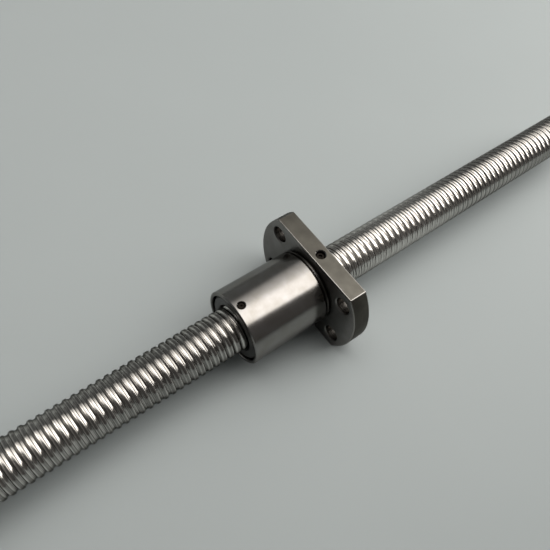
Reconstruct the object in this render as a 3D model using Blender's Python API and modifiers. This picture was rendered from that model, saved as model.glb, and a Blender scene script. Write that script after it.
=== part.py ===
"""Miniature ball screw: a 12 x 2 mm screw in a ball nut whose round flange has two flats.

Units are metres, +Z is up. The screw lies along X with its middle at x = 0, and the nut's
flange stands on its lower flat at z = 0. The nut holds three circuits of balls. In each
one the balls run almost once round in the groove, and then a deflector lifts them over
the screw's land and back into the turn where they began. A ring locked by a grub screw
closes each end of the nut, with a loose wiper ring behind it.
"""
import math

import bmesh
import bpy
from mathutils import Matrix, Vector

MM = 0.001

# Ball thread: right-hand, with the groove's middle at GROOVE_X on the screw's +Y side
LEAD = 2.0 * MM
GROOVE_X = -4.44 * MM
BALL_DIAMETER = 1.2 * MM
CREST_BELOW_BALLS = 0.2 * MM
RACE_CLEARANCE = 0.03 * MM

# Screw
SCREW_LENGTH = 220.0 * MM
SCREW_END_CHAMFER = 0.8 * MM
CENTRE_HOLE_DIAMETER = 3.0 * MM
CENTRE_HOLE_ANGLE = math.radians(60)

# Nut: its body runs towards -X from the flange's front face, which seats on the housing
FLANGE_FACE_X = -5.5 * MM
BODY_DIAMETER = 20.0 * MM
BODY_WALL = 3.7 * MM
BODY_LENGTH = 23.0 * MM
BODY_CHAMFER = 0.3 * MM
NECK_LENGTH = 1.5 * MM
NECK_DEPTH = 0.45 * MM
NECK_RIB_WIDTH = 0.45 * MM
NECK_RIB_DROP = 0.12 * MM
FLANGE_DIAMETER = 37.0 * MM
FLANGE_THICKNESS = 5.0 * MM
FLAT_STEP = 2.0 * MM
FLANGE_CHAMFER = 0.3 * MM
SEAT_RELIEF = 0.15 * MM
BOLT_CIRCLE_OUT = 0.25 * MM
BOLT_HOLE_DIAMETER = 4.5 * MM
BOLT_ANGLE = math.radians(30)
LAND_CLEARANCE = 0.4 * MM
COUNTERBORE_WALL = 1.0 * MM

# End rings, wiper rings and grub screws
SEAT_GAP = 0.3 * MM
END_RING_SUNK = 0.4 * MM
END_RING_WIDTH = 3.2 * MM
END_RING_CHAMFER = 0.4 * MM
RING_GROOVE_SHARE = 1 / 3
RING_GROOVE_WIDTH = 1.6 * MM
WIPER_WIDTH = 1.5 * MM
BODY_GRUB_FROM_END = 1.9 * MM
BODY_GRUB_HOLE = 2.0 * MM
BODY_GRUB_SUNK = 0.4 * MM
FLANGE_GRUB_HOLE = 2.5 * MM
FLANGE_GRUB_SUNK = 0.8 * MM
GRUB_CLEARANCE = 0.15 * MM
GRUB_SOCKET_SHARE = 0.5
GRUB_SOCKET_DEPTH = 0.4 * MM

# Ball circuits and deflectors
CIRCUITS = 3
CIRCUIT_SPACING = (2 + 1 / 3) * LEAD
CROSSING_ANGLE = math.radians(60)
BALL_PLAY = 0.05 * MM
ROW_NECK_RADIUS = 0.12 * MM
CHANNEL_CLEARANCE = 0.1 * MM
DEFLECTOR_LENGTH = 7.8 * MM
DEFLECTOR_WIDTH = 4.2 * MM
DEFLECTOR_ROOF = 0.4 * MM

# Facets
SCREW_STEPS = 10
NUT_STEPS = 16
ROUND_STEPS = 32
LOBE_STEPS = 14
RING_STEPS = 24
HOLE_STEPS = 12
RACE_FACETS = 3
PATH_STEPS = 48
MERGE = 1e-6
OVERSHOOT = 1.0 * MM

# Sizes that follow from the ones above. The nut's bore, the screw and the balls between
# them keep to the body: the screw's crest is 11.8 mm and the ball circle 12.2 mm across.
BODY_R = BODY_DIAMETER / 2
LAND_R = BODY_R - BODY_WALL
CREST_R = LAND_R - LAND_CLEARANCE
BALL_CIRCLE_R = CREST_R + CREST_BELOW_BALLS
BALL_R = BALL_DIAMETER / 2
RACE_R = BALL_R + RACE_CLEARANCE
CHANNEL_R = BALL_R + CHANNEL_CLEARANCE
CROSSING_RISE = CREST_R + CHANNEL_R - BALL_CIRCLE_R
DEFLECTOR_TOP = BALL_CIRCLE_R + CROSSING_RISE + CHANNEL_R + DEFLECTOR_ROOF
# The flange's flats are 24 mm apart, and its bolts sit on a circle of 29 mm, just outside
# the middle between the body and the rim.
AXIS_Z = BODY_R + FLAT_STEP
BOLT_CIRCLE_R = (BODY_DIAMETER + FLANGE_DIAMETER) / 4 + BOLT_CIRCLE_OUT
COUNTERBORE_R = BODY_R - COUNTERBORE_WALL
RING_R = COUNTERBORE_R - SEAT_GAP
RING_GROOVE_R = RING_R - RING_GROOVE_SHARE * (RING_R - LAND_R)
BODY_END_X = FLANGE_FACE_X - BODY_LENGTH
FLANGE_END_X = FLANGE_FACE_X + FLANGE_THICKNESS
BODY_GRUB_X = BODY_END_X + BODY_GRUB_FROM_END
FLANGE_GRUB_X = FLANGE_FACE_X + FLANGE_THICKNESS / 2
COUNTERBORE_DEPTH = END_RING_SUNK + END_RING_WIDTH + WIPER_WIDTH + 2 * SEAT_GAP
BODY_FLOOR_X = BODY_END_X + COUNTERBORE_DEPTH
FLANGE_FLOOR_X = FLANGE_END_X - COUNTERBORE_DEPTH
THREAD_MIDDLE_X = (BODY_FLOOR_X + FLANGE_FLOOR_X) / 2


def make_collection(name):
    collection = bpy.data.collections.new(name)
    bpy.context.scene.collection.children.link(collection)
    return collection


def make_material(name, colour, roughness, metallic):
    material = bpy.data.materials.new(name)
    material.use_nodes = True
    shader = material.node_tree.nodes["Principled BSDF"]
    shader.inputs["Base Color"].default_value = (*colour, 1.0)
    shader.inputs["Roughness"].default_value = roughness
    shader.inputs["Metallic"].default_value = metallic
    return material


def on_circle(x, radius, angle):
    """A point about the screw's axis, at an angle from +Y towards +Z."""
    return Vector((x, radius * math.cos(angle), radius * math.sin(angle)))


def smooth_step(t):
    t = min(max(t, 0.0), 1.0)
    return t * t * (3 - 2 * t)


# Meshes and objects

def clean_mesh(name, mesh):
    """Welds a mesh's seams, turns its faces outwards and shades it smooth."""
    work = bmesh.new()
    work.from_mesh(mesh)
    bmesh.ops.remove_doubles(work, verts=work.verts, dist=MERGE)
    bmesh.ops.recalc_face_normals(work, faces=work.faces)
    work.to_mesh(mesh)
    work.free()
    mesh.name = name
    mesh.shade_smooth()
    mesh.set_sharp_from_angle(angle=math.radians(35))
    return mesh


def add_object(name, mesh, collection, material=None):
    """Every object hangs from the empty on the screw's axis."""
    thing = bpy.data.objects.new(name, mesh)
    collection.objects.link(thing)
    thing.parent = AXIS
    if material:
        mesh.materials.append(material)
    return thing


def evaluated_mesh(thing):
    graph = bpy.context.evaluated_depsgraph_get()
    mesh = bpy.data.meshes.new_from_object(thing.evaluated_get(graph))
    bpy.data.objects.remove(thing)
    return mesh


def turned(name, profile, steps, collection, material=None, closed=False, pitch=0.0, turns=1):
    """Turns a profile of (x, radius) points about the X axis, or winds it into a helix."""
    edges = [(i, i + 1) for i in range(len(profile) - 1)]
    if closed:
        edges.append((len(profile) - 1, 0))
    line = bpy.data.meshes.new(name)
    line.from_pydata([(x, radius, 0.0) for x, radius in profile], edges, [])
    blank = bpy.data.objects.new(name, line)
    collection.objects.link(blank)
    sweep = blank.modifiers.new("sweep", "SCREW")
    sweep.axis = "X"
    sweep.angle = 2 * math.pi
    sweep.steps = steps
    sweep.render_steps = steps
    sweep.screw_offset = pitch
    sweep.iterations = turns
    sweep.use_merge_vertices = True
    sweep.merge_threshold = MERGE
    return add_object(name, clean_mesh(name, evaluated_mesh(blank)), collection, material)


def trim(thing, planes):
    """Cuts a mesh off flat beyond each (point, normal) plane and closes it there."""
    work = bmesh.new()
    work.from_mesh(thing.data)
    for point, normal in planes:
        whole = work.verts[:] + work.edges[:] + work.faces[:]
        cut = bmesh.ops.bisect_plane(
            work, geom=whole, dist=MERGE, plane_co=point, plane_no=normal, clear_outer=True
        )
        rim = [item for item in cut["geom_cut"] if isinstance(item, bmesh.types.BMEdge)]
        bmesh.ops.edgeloop_fill(work, edges=rim)
    bmesh.ops.recalc_face_normals(work, faces=work.faces)
    work.to_mesh(thing.data)
    work.free()
    return thing


def cylinder(name, start, end, radius, steps, collection):
    """A cylinder between two points."""
    span = end - start
    place = span.to_track_quat("Z", "Y").to_matrix().to_4x4()
    place.translation = (start + end) / 2
    work = bmesh.new()
    bmesh.ops.create_cone(
        work, cap_ends=True, segments=steps, radius1=radius, radius2=radius,
        depth=span.length, matrix=place,
    )
    mesh = bpy.data.meshes.new(name)
    work.to_mesh(mesh)
    work.free()
    return add_object(name, mesh, collection)


def cylinder_on_axis(name, start_x, end_x, radius, steps, collection):
    return cylinder(name, Vector((start_x, 0, 0)), Vector((end_x, 0, 0)), radius, steps, collection)


def tube(name, points, radii, resolution, collection, material=None):
    """A round section drawn along a line of points, with its own radius at each one."""
    curve = bpy.data.curves.new(name, "CURVE")
    curve.dimensions = "3D"
    curve.bevel_depth = 1.0
    curve.bevel_resolution = resolution
    curve.use_fill_caps = True
    spline = curve.splines.new("POLY")
    spline.points.add(len(points) - 1)
    for spot, place, radius in zip(spline.points, points, radii):
        spot.co = (*place, 1.0)
        spot.radius = radius
    wire = bpy.data.objects.new(name, curve)
    collection.objects.link(wire)
    return add_object(name, clean_mesh(name, evaluated_mesh(wire)), collection, material)


def as_cutter(thing):
    thing.hide_render = True
    thing.display_type = "WIRE"
    return thing


def boolean(thing, other, operation):
    step = thing.modifiers.new(f"{operation.lower()} {other.name}", "BOOLEAN")
    step.operation = operation
    step.solver = "EXACT"
    step.object = as_cutter(other)


# Ball thread

def groove_facets(land_radius, side):
    """The groove's outline as (x, radius) points. Its flat facets touch the race's circle
    from outside, so a ball always clears them. side is -1 on the screw and 1 in the nut."""
    height = abs(BALL_CIRCLE_R - land_radius)
    facet = math.acos(height / RACE_R) / RACE_FACETS
    corner_r = RACE_R / math.cos(facet)
    half = math.acos(height / corner_r)
    points = []
    for i in range(RACE_FACETS + 1):
        angle = -half + 2 * half * i / RACE_FACETS
        x = corner_r * math.sin(angle)
        points.append((x, BALL_CIRCLE_R + side * corner_r * math.cos(angle)))
    return points


def threaded_rod(name, land_radius, side, steps, start_x, end_x, collection, material=None):
    """A rod with the groove (side -1) or its ridge (side 1) wound along it, cut flat at both
    ends. One lead of outline is wound on from a whole number of leads before start_x."""
    leads_back = math.ceil((GROOVE_X - start_x) / LEAD) + 2
    origin = GROOVE_X - leads_back * LEAD
    turns = math.ceil((end_x - origin) / LEAD) + 2
    grow = 1.0 if side < 0 else 1 / math.cos(math.pi / steps)
    profile = [(origin + x, radius * grow) for x, radius in groove_facets(land_radius, side)]
    profile.append((profile[0][0] + LEAD, profile[0][1]))
    rod = turned(name, profile, steps, collection, material, pitch=LEAD, turns=turns)
    return trim(rod, [((start_x, 0, 0), (-1, 0, 0)), ((end_x, 0, 0), (1, 0, 0))])


# Screw

def make_screw(parts, cutters, material):
    """A threaded rod inside the turned blank that it was ground from, which gives it the end
    chamfers and the lathe centres' cones."""
    half = SCREW_LENGTH / 2
    cone_r = CENTRE_HOLE_DIAMETER / 2
    cone_depth = cone_r / math.tan(CENTRE_HOLE_ANGLE / 2)
    right_end = [
        (half - SCREW_END_CHAMFER - OVERSHOOT, CREST_R + OVERSHOOT),
        (half, CREST_R - SCREW_END_CHAMFER),
        (half, cone_r),
        (half - cone_depth, 0.0),
    ]
    left_end = [(-x, radius) for x, radius in reversed(right_end)]
    blank = turned("screw_blank", left_end + right_end, ROUND_STEPS, cutters)
    start_x = -half - OVERSHOOT
    end_x = half + OVERSHOOT
    screw = threaded_rod(
        "screw_shaft", CREST_R, -1, SCREW_STEPS, start_x, end_x, parts, material
    )
    boolean(screw, blank, "INTERSECT")


# Nut

def make_nut_blank(parts, material):
    """The turned body, with the relief neck and its rib. It ends inside the flange."""
    neck_r = BODY_R - NECK_DEPTH
    rib_r = BODY_R - NECK_RIB_DROP
    neck_start = FLANGE_FACE_X - NECK_LENGTH
    rib_start = FLANGE_FACE_X - (NECK_LENGTH + NECK_RIB_WIDTH) / 2
    rib_end = rib_start + NECK_RIB_WIDTH
    inside_flange = FLANGE_FACE_X + FLANGE_THICKNESS / 2
    profile = [
        (BODY_END_X, 0.0),
        (BODY_END_X, BODY_R - BODY_CHAMFER),
        (BODY_END_X + BODY_CHAMFER, BODY_R),
        (neck_start, BODY_R),
        (neck_start, neck_r),
        (rib_start, neck_r),
        (rib_start, rib_r),
        (rib_end, rib_r),
        (rib_end, neck_r),
        (inside_flange, neck_r),
        (inside_flange, 0.0),
    ]
    return turned("nut_body", profile, ROUND_STEPS, parts, material)


def make_flange(cutters):
    """A disc milled to two flats, with the edges of its outline broken. A shallow relief
    round the neck lets a housing that slides over the body lie flat on the seat face."""
    radius = FLANGE_DIAMETER / 2
    corner = math.asin(AXIS_Z / radius)
    work = bmesh.new()
    rim = []
    for lobe in (0.0, math.pi):
        for i in range(LOBE_STEPS + 1):
            angle = lobe + corner * (2 * i / LOBE_STEPS - 1)
            rim.append(work.verts.new(on_circle(FLANGE_FACE_X, radius, angle)))
    work.faces.new(rim)
    raised = bmesh.ops.extrude_face_region(work, geom=work.faces[:])
    for item in raised["geom"]:
        if isinstance(item, bmesh.types.BMVert):
            item.co.x = FLANGE_END_X
    outline = []
    for edge in work.edges:
        a, b = edge.verts
        if abs(a.co.x - b.co.x) < MERGE:
            outline.append(edge)
    bmesh.ops.bevel(
        work, geom=outline, offset=FLANGE_CHAMFER, offset_type="OFFSET", affect="EDGES",
        segments=1, profile=0.5, material=-1, clamp_overlap=False,
    )
    bmesh.ops.recalc_face_normals(work, faces=work.faces)
    mesh = bpy.data.meshes.new("nut_flange")
    work.to_mesh(mesh)
    work.free()
    flange = add_object("nut_flange", mesh, cutters)
    relief = cylinder_on_axis(
        "seat_relief", FLANGE_FACE_X - OVERSHOOT, FLANGE_FACE_X + SEAT_RELIEF,
        BODY_R + SEAT_RELIEF, ROUND_STEPS, cutters,
    )
    boolean(flange, relief, "DIFFERENCE")
    return flange


def make_bores(cutters):
    """The counterbore at each end and the ball thread between them."""
    outer_x = BODY_END_X - OVERSHOOT
    far_x = FLANGE_END_X + OVERSHOOT
    return [
        cylinder_on_axis(
            "body_counterbore", outer_x, BODY_FLOOR_X, COUNTERBORE_R, ROUND_STEPS, cutters
        ),
        cylinder_on_axis(
            "flange_counterbore", FLANGE_FLOOR_X, far_x, COUNTERBORE_R, ROUND_STEPS, cutters
        ),
        threaded_rod(
            "ball_thread_tap", LAND_R, 1, NUT_STEPS,
            BODY_FLOOR_X - OVERSHOOT, FLANGE_FLOOR_X + OVERSHOOT, cutters,
        ),
    ]


def make_bolt_holes(cutters):
    holes = []
    for number in range(4):
        lobe = math.pi * (number // 2)
        side = 1 if number % 2 else -1
        start = on_circle(
            FLANGE_FACE_X - OVERSHOOT, BOLT_CIRCLE_R, lobe + side * BOLT_ANGLE
        )
        end = start + Vector((FLANGE_THICKNESS + 2 * OVERSHOOT, 0, 0))
        name = f"bolt_hole_{number + 1}"
        holes.append(cylinder(name, start, end, BOLT_HOLE_DIAMETER / 2, HOLE_STEPS, cutters))
    return holes


def make_grub_hole(name, x, diameter, cutters):
    start = Vector((x, 0, COUNTERBORE_R - OVERSHOOT))
    end = Vector((x, 0, AXIS_Z + OVERSHOOT))
    return cylinder(name, start, end, diameter / 2, HOLE_STEPS, cutters)


# Rings and grub screws

def make_end_ring(name, face_x, way, grub_x, parts, material):
    """The ring that closes one end. way points from its outer face into the nut, and the
    grub screw's point sits in its groove."""
    groove_start = abs(grub_x - face_x) - RING_GROOVE_WIDTH / 2
    groove_end = groove_start + RING_GROOVE_WIDTH
    outline = [
        (0.0, LAND_R),
        (0.0, RING_R - END_RING_CHAMFER),
        (END_RING_CHAMFER, RING_R),
        (groove_start, RING_R),
        (groove_start, RING_GROOVE_R),
        (groove_end, RING_GROOVE_R),
        (groove_end, RING_R),
        (END_RING_WIDTH, RING_R),
        (END_RING_WIDTH, LAND_R),
    ]
    profile = [(face_x + way * x, radius) for x, radius in outline]
    turned(name, profile, RING_STEPS, parts, material, closed=True)


def make_wiper_ring(name, floor_x, way, parts, material):
    """The loose ring between an end ring and the counterbore's floor."""
    near = floor_x + way * SEAT_GAP
    far = near + way * WIPER_WIDTH
    profile = [(near, LAND_R), (near, RING_R), (far, RING_R), (far, LAND_R)]
    turned(name, profile, RING_STEPS, parts, material, closed=True)


def make_grub_screw(name, x, hole_diameter, top, parts, cutters, material):
    """A grub screw that stands upright, with a dog point and a hexagon socket."""
    radius = hole_diameter / 2 - GRUB_CLEARANCE
    point_z = RING_GROOVE_R + SEAT_GAP
    point_r = RING_GROOVE_WIDTH / 2 - SEAT_GAP
    shoulder_z = COUNTERBORE_R
    profile = [
        (0.0, point_z),
        (point_r, point_z),
        (point_r, shoulder_z),
        (radius, shoulder_z),
        (radius, top),
        (0.0, top),
    ]
    work = bmesh.new()
    verts = [work.verts.new((r, 0.0, z)) for r, z in profile]
    edges = [work.edges.new(pair) for pair in zip(verts, verts[1:])]
    bmesh.ops.spin(
        work, geom=verts + edges, cent=(0, 0, 0), axis=(0, 0, 1), angle=2 * math.pi,
        steps=HOLE_STEPS, use_merge=True,
    )
    mesh = bpy.data.meshes.new(name)
    work.to_mesh(mesh)
    work.free()
    grub = add_object(name, clean_mesh(name, mesh), parts, material)
    grub.location.x = x
    start = Vector((x, 0, top - GRUB_SOCKET_DEPTH))
    end = Vector((x, 0, top + OVERSHOOT))
    socket = cylinder(f"{name}_socket", start, end, radius * GRUB_SOCKET_SHARE, 6, cutters)
    boolean(grub, socket, "DIFFERENCE")


# Ball circuits

def circuit_middle(number):
    """Where a circuit's deflector is: its x, and the angle at which the land between two
    turns of the groove passes under it."""
    x = THREAD_MIDDLE_X + (number - (CIRCUITS - 1) / 2) * CIRCUIT_SPACING
    turns = (x - GROOVE_X) / LEAD - 0.5
    return x, 2 * math.pi * (turns % 1.0)


def race_path(number, start, end, later_turn):
    """Ball centres in the groove between two angles, measured from the deflector's middle.
    The circuit's two turns of the groove lie half a lead to either side of it."""
    x, middle = circuit_middle(number)
    side = 0.5 if later_turn else -0.5
    count = max(2, round(PATH_STEPS * abs(end - start) / (2 * math.pi)))
    points = []
    for i in range(count + 1):
        angle = start + (end - start) * i / count
        groove = x + LEAD * (side + angle / (2 * math.pi))
        points.append(on_circle(groove, BALL_CIRCLE_R, middle + angle))
    return points


def crossing_path(number):
    """Ball centres through the deflector: up out of the later turn of the groove, back over
    the land by one lead, and down into the earlier turn."""
    x, middle = circuit_middle(number)
    points = []
    for i in range(PATH_STEPS // 3 + 1):
        t = i / (PATH_STEPS // 3)
        angle = (t - 0.5) * CROSSING_ANGLE
        shift = smooth_step((t - 0.2) / 0.6)
        lift = smooth_step(4 * t) * smooth_step(4 * (1 - t))
        groove = x + LEAD * (0.5 - shift + angle / (2 * math.pi))
        points.append(on_circle(groove, BALL_CIRCLE_R + CROSSING_RISE * lift, middle + angle))
    return points


def path_length(points):
    return sum((b - a).length for a, b in zip(points, points[1:]))


def along(points, distances):
    """Points at rising distances along a line of points."""
    found = []
    walked = 0.0
    i = 0
    for distance in distances:
        step = (points[i + 1] - points[i]).length
        while walked + step < distance and i < len(points) - 2:
            walked += step
            i += 1
            step = (points[i + 1] - points[i]).length
        found.append(points[i].lerp(points[i + 1], (distance - walked) / step))
    return found


def make_loaded_row(name, loop, pitch, count, parts, material):
    """The loaded balls of one circuit, from the loop's start. Each one is turned to three
    facets across, and it joins its neighbours by a thin neck where they touch."""
    distances = []
    radii = []
    for ball in range(count):
        middle = (ball + 0.5) * pitch
        distances += [ball * pitch, middle - BALL_R / 2, middle + BALL_R / 2]
        radii += [ROW_NECK_RADIUS, BALL_R * math.cos(math.pi / 6), BALL_R * math.cos(math.pi / 6)]
    distances.append(count * pitch)
    radii.append(ROW_NECK_RADIUS)
    distances[0] += BALL_PLAY
    distances[-1] -= BALL_PLAY
    tube(name, along(loop, distances), radii, 1, parts, material)


def make_ball(name, place, parts, material):
    work = bmesh.new()
    bmesh.ops.create_uvsphere(work, u_segments=6, v_segments=4, radius=BALL_R)
    mesh = bpy.data.meshes.new(name)
    work.to_mesh(mesh)
    work.free()
    ball = add_object(name, clean_mesh(name, mesh), parts, material)
    ball.location = place


def make_circuit(number, parts, material):
    """The balls of one circuit: a row of loaded ones and the single ones in the deflector."""
    half = CROSSING_ANGLE / 2
    race = race_path(number, half, 2 * math.pi - half, later_turn=False)
    loop = race + crossing_path(number)[1:]
    total = path_length(loop)
    count = math.floor(total / (BALL_DIAMETER + BALL_PLAY))
    pitch = total / count
    loaded = math.floor(path_length(race) / pitch)
    make_loaded_row(f"ball_row_{number + 1}", loop, pitch, loaded, parts, material)
    places = along(loop, [(i + 0.5) * pitch for i in range(loaded, count)])
    for i, place in enumerate(places, 1):
        make_ball(f"ball_{number + 1}_{i}", place, parts, material)


# Deflectors

def insert_blank(name, number, grow, collection, material=None):
    """A round-ended block that stands out along the deflector's radius. grow widens it all
    round and raises its top, which makes the pocket for it."""
    end_r = DEFLECTOR_WIDTH / 2 + grow
    straight = (DEFLECTOR_LENGTH - DEFLECTOR_WIDTH) / 2
    bottom = LAND_R - 2 * OVERSHOOT
    work = bmesh.new()
    turn = Matrix.Rotation(math.pi / HOLE_STEPS, 4, "Z")
    plan = bmesh.ops.create_circle(
        work, cap_ends=True, segments=HOLE_STEPS, radius=end_r, matrix=turn
    )
    for vert in plan["verts"]:
        vert.co.y += math.copysign(straight, vert.co.y)
        vert.co.z = bottom
    raised = bmesh.ops.extrude_face_region(work, geom=work.faces[:])
    for item in raised["geom"]:
        if isinstance(item, bmesh.types.BMVert):
            item.co.z = DEFLECTOR_TOP + grow
    bmesh.ops.recalc_face_normals(work, faces=work.faces)
    x, angle = circuit_middle(number)
    place = Matrix.Translation((x, 0, 0)) @ Matrix.Rotation(angle - math.pi / 2, 4, "X")
    bmesh.ops.transform(work, matrix=place, verts=work.verts)
    mesh = bpy.data.meshes.new(name)
    work.to_mesh(mesh)
    work.free()
    return add_object(name, clean_mesh(name, mesh), collection, material)


def make_channel(number, cutters):
    """The path of the balls through a deflector, run on along the groove at both ends."""
    half = CROSSING_ANGLE / 2
    run_on = math.radians(20)
    path = race_path(number, -half - run_on, -half, later_turn=True)
    path += crossing_path(number)[1::2]
    path += race_path(number, half, half + run_on, later_turn=False)[1:]
    radius = CHANNEL_R / math.cos(math.pi / 8)
    return tube(f"channel_{number + 1}", path, [radius] * len(path), 2, cutters)


def make_deflector(number, parts, cutters, material):
    insert = insert_blank(f"deflector_{number + 1}", number, 0.0, parts, material)
    bore_r = LAND_R / math.cos(math.pi / ROUND_STEPS)
    x = circuit_middle(number)[0]
    bore = cylinder_on_axis(
        f"deflector_bore_{number + 1}", x - DEFLECTOR_WIDTH, x + DEFLECTOR_WIDTH,
        bore_r, ROUND_STEPS, cutters,
    )
    boolean(insert, bore, "DIFFERENCE")
    boolean(insert, make_channel(number, cutters), "DIFFERENCE")


def build():
    parts = make_collection("miniature_ball_screw")
    cutters = make_collection("cutters")
    screw_steel = make_material("polished_screw_steel", (0.62, 0.61, 0.59), 0.18, 1.0)
    nut_steel = make_material("ground_nut_steel", (0.56, 0.55, 0.52), 0.32, 1.0)
    ring_plastic = make_material("ring_plastic", (0.1, 0.1, 0.1), 0.5, 0.0)
    wiper_plastic = make_material("wiper_plastic", (0.16, 0.16, 0.15), 0.6, 0.0)
    grub_steel = make_material("blackened_grub_steel", (0.06, 0.055, 0.05), 0.4, 1.0)
    deflector_steel = make_material("deflector_steel", (0.45, 0.44, 0.42), 0.4, 1.0)
    ball_steel = make_material("ball_steel", (0.75, 0.75, 0.75), 0.05, 1.0)

    make_screw(parts, cutters, screw_steel)

    nut = make_nut_blank(parts, nut_steel)
    boolean(nut, make_flange(cutters), "UNION")
    tools = make_bores(cutters) + make_bolt_holes(cutters)
    tools.append(make_grub_hole("body_grub_hole", BODY_GRUB_X, BODY_GRUB_HOLE, cutters))
    tools.append(make_grub_hole("flange_grub_hole", FLANGE_GRUB_X, FLANGE_GRUB_HOLE, cutters))
    for number in range(CIRCUITS):
        tools.append(insert_blank(f"deflector_pocket_{number + 1}", number, SEAT_GAP, cutters))
    for tool in tools:
        boolean(nut, tool, "DIFFERENCE")

    body_face_x = BODY_END_X + END_RING_SUNK
    flange_face_x = FLANGE_END_X - END_RING_SUNK
    make_end_ring("end_ring_body_end", body_face_x, 1, BODY_GRUB_X, parts, ring_plastic)
    make_end_ring("end_ring_flange_end", flange_face_x, -1, FLANGE_GRUB_X, parts, ring_plastic)
    make_wiper_ring("wiper_ring_body_end", BODY_FLOOR_X, -1, parts, wiper_plastic)
    make_wiper_ring("wiper_ring_flange_end", FLANGE_FLOOR_X, 1, parts, wiper_plastic)
    make_grub_screw(
        "grub_screw_body_end", BODY_GRUB_X, BODY_GRUB_HOLE, BODY_R - BODY_GRUB_SUNK,
        parts, cutters, grub_steel,
    )
    make_grub_screw(
        "grub_screw_flange_end", FLANGE_GRUB_X, FLANGE_GRUB_HOLE, AXIS_Z - FLANGE_GRUB_SUNK,
        parts, cutters, grub_steel,
    )
    for number in range(CIRCUITS):
        make_deflector(number, parts, cutters, deflector_steel)
        make_circuit(number, parts, ball_steel)


for old in list(bpy.data.objects):
    bpy.data.objects.remove(old)
AXIS = bpy.data.objects.new("screw_axis", None)
AXIS.location.z = AXIS_Z
bpy.context.scene.collection.objects.link(AXIS)
build()
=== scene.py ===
# %% [markdown]
# # A miniature ball screw, dressed in Blender
#
# A ball screw turns rotation into travel. The long screw has a round groove wound along it,
# and the nut has the same groove inside. Small steel balls roll between the two, so the nut
# glides instead of rubbing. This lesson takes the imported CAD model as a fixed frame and
# replaces its plain solids by finer pieces with real finishes: ground steel, polished steel,
# moulded plastic and blackened screws.

# %% Load the frame
import math

import bmesh
import bpy
from mathutils import Euler, Matrix, Vector


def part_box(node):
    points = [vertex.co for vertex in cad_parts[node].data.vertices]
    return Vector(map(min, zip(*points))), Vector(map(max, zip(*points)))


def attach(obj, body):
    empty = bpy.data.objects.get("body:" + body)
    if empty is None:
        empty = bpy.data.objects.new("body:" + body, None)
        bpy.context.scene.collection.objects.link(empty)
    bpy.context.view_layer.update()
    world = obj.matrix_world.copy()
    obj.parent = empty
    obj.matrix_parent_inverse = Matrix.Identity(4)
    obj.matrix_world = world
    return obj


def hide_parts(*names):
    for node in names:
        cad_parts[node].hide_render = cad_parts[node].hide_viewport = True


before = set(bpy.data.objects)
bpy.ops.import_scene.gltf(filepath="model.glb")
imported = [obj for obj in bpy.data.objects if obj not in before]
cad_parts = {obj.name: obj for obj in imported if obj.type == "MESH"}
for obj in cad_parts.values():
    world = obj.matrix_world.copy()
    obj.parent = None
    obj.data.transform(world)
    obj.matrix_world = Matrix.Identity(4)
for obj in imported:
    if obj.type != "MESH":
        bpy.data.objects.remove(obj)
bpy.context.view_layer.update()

# %% [markdown]
# ## Sizes
#
# Every piece has to sit where the CAD says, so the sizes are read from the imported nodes
# wherever a node shows them. A box gives outer sizes only. The inner ones, such as the depth
# of the ball groove, are repeated here from the model's own values, in metres.

# %% Sizes from the frame
MM = 0.001


def size_of(node):
    """A node's lowest corner and its lengths along X, Y and Z."""
    low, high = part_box(node)
    return low, high - low


screw_size = size_of("screw_shaft")[1]
nut_low, nut_size = size_of("nut_body")
AXIS_Z = nut_size.z / 2
SCREW_LENGTH = screw_size.x
BODY_END_X = nut_low.x
FLANGE_END_X = nut_low.x + nut_size.x
FLANGE_R = nut_size.y / 2
print(f"axis at z = {AXIS_Z / MM:.2f} mm, screw {SCREW_LENGTH / MM:.1f} mm")

# %% Sizes that no box shows
LEAD = 2.0 * MM
GROOVE_X = -4.44 * MM
BALL_R = 0.6 * MM
BALL_CIRCLE_R = 6.1 * MM
RACE_R = 0.63 * MM
CREST_R = 5.9 * MM
LAND_R = 6.3 * MM
BODY_R = 10.0 * MM
FLANGE_THICKNESS = 5.0 * MM
COUNTERBORE_R = 9.0 * MM
COUNTERBORE_DEPTH = 5.7 * MM
SEAT_GAP = 0.3 * MM
OVERSHOOT = 1.0 * MM
MERGE = 1e-7
WELD = 1e-6
FLANGE_FACE_X = FLANGE_END_X - FLANGE_THICKNESS
BODY_FLOOR_X = BODY_END_X + COUNTERBORE_DEPTH
FLANGE_FLOOR_X = FLANGE_END_X - COUNTERBORE_DEPTH
THREAD_MIDDLE_X = (BODY_FLOOR_X + FLANGE_FLOOR_X) / 2
print(f"the nut's body is {(FLANGE_FACE_X - BODY_END_X) / MM:.1f} mm long")

# %% [markdown]
# ## Small helpers for meshes
#
# Everything here is turned, drilled or wound about one axis, so a few helpers do most of the
# work. A profile of (x, radius) points is spun into a turned shape, holes are cut by Boolean
# tools, and one function turns a finished bmesh into a piece that rides on its body. Shapes
# are made about the X axis and lifted to the real axis at the very end.

# %% Turn a profile
def profile_edges(work, points, closed=False):
    """Vertices and edges of a profile given as (x, radius) points."""
    verts = [work.verts.new((x, radius, 0.0)) for x, radius in points]
    pairs = list(zip(verts, verts[1:]))
    if closed:
        pairs.append((verts[-1], verts[0]))
    return verts + [work.edges.new(pair) for pair in pairs]


def turned(points, steps, closed=False):
    """A bmesh of a profile spun once about the X axis."""
    work = bmesh.new()
    line = profile_edges(work, points, closed)
    bmesh.ops.spin(
        work, geom=line, cent=(0, 0, 0), axis=(1, 0, 0), angle=2 * math.pi,
        steps=steps, use_merge=True,
    )
    return tidy(work)


def tidy(work):
    """Welds seams and turns the faces outwards."""
    bmesh.ops.remove_doubles(work, verts=work.verts, dist=MERGE)
    bmesh.ops.recalc_face_normals(work, faces=work.faces)
    return work


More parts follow.
